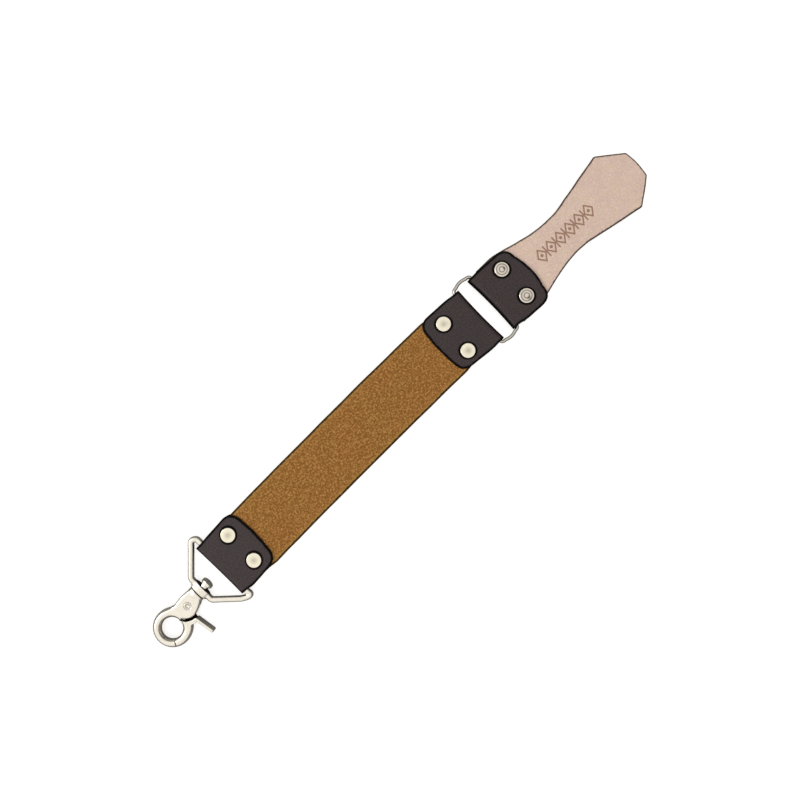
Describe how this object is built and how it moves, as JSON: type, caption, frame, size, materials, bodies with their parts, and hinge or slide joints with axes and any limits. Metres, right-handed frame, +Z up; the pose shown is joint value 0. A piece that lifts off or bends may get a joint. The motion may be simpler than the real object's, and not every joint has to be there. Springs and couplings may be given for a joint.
{
  "type": "leather strop",
  "caption": "Hanging leather strop: a suede-faced strap with a swivelling trigger hook and a wire bail at one end and a shaped leather handle on a wire ring at the other.",
  "frame": {"origin": "bottom centre of the whole strop as it lies on its back, on the surface that it lies on", "axes": "+X along the strop from the snap hook to the end of the handle, +Y across it, +Z up out of the suede face"},
  "size_m": [0.5606, 0.0712, 0.0118],
  "materials": {
    "suede": "golden brown suede, napped and fully matt",
    "smooth_leather": "smooth brown grain leather, waxed",
    "dark_leather": "dark brown-black semi-matt leather with near-black dyed edges",
    "pale_leather": "undyed vegetable-tanned leather, matt, with darker burnished edges",
    "nickel_rivet": "nickel-plated domed cap, satin to bright",
    "nickel_wire": "bright nickel-plated steel wire",
    "nickel_cast": "nickel-plated zinc casting, softly polished",
    "spring_steel": "plain drawn spring wire"
  },
  "bodies": {
    "strap": {"strap_front": "suede", "strap_back": "smooth_leather", "lower_tab": "dark_leather", "middle_tab": "dark_leather", "rivet_cap_1": "nickel_rivet", "rivet_cap_2": "nickel_rivet", "rivet_cap_3": "nickel_rivet", "rivet_cap_4": "nickel_rivet", "rivet_post_1": "nickel_rivet", "rivet_post_2": "nickel_rivet", "rivet_post_3": "nickel_rivet", "rivet_post_4": "nickel_rivet"},
    "ring": {"connecting_ring": "nickel_wire"},
    "handle": {"handle": "pale_leather", "handle_tab": "dark_leather", "rivet_cap_5": "nickel_rivet", "rivet_cap_6": "nickel_rivet", "rivet_post_5": "nickel_rivet", "rivet_post_6": "nickel_rivet"},
    "bail": {"bail": "nickel_cast"},
    "hook": {"hook_body": "nickel_cast", "swivel_stud": "nickel_cast", "trigger_pin": "nickel_cast", "trigger_spring": "spring_steel"},
    "trigger": {"trigger": "nickel_cast"}
  },
  "joints": [
    {"name": "ring_hinge", "type": "hinge", "parent": "strap", "child": "ring", "pos_m": [0.0966, 0, 0.00592], "axis": [0, -1, 0], "range_deg": [-90, 90]},
    {"name": "handle_hinge", "type": "hinge", "parent": "ring", "child": "handle", "pos_m": [0.1156, 0, 0.00592], "axis": [0, -1, 0], "range_deg": [-90, 90]},
    {"name": "bail_hinge", "type": "hinge", "parent": "strap", "child": "bail", "pos_m": [-0.1986, 0, 0.00592], "axis": [0, 1, 0], "range_deg": [-120, 120]},
    {"name": "hook_swivel", "type": "hinge", "parent": "bail", "child": "hook", "pos_m": [-0.2254, -0.0015, 0.00592], "axis": [1, 0, 0], "continuous": true},
    {"name": "trigger_pivot", "type": "hinge", "parent": "hook", "child": "trigger", "pos_m": [-0.2417, -0.0037, 0.00592], "axis": [0, 0, 1], "range_deg": [0, 30], "stiffness_Nm_per_rad": 0.03, "springref_deg": -28.65, "deforming": ["trigger_spring"]}
  ]
}
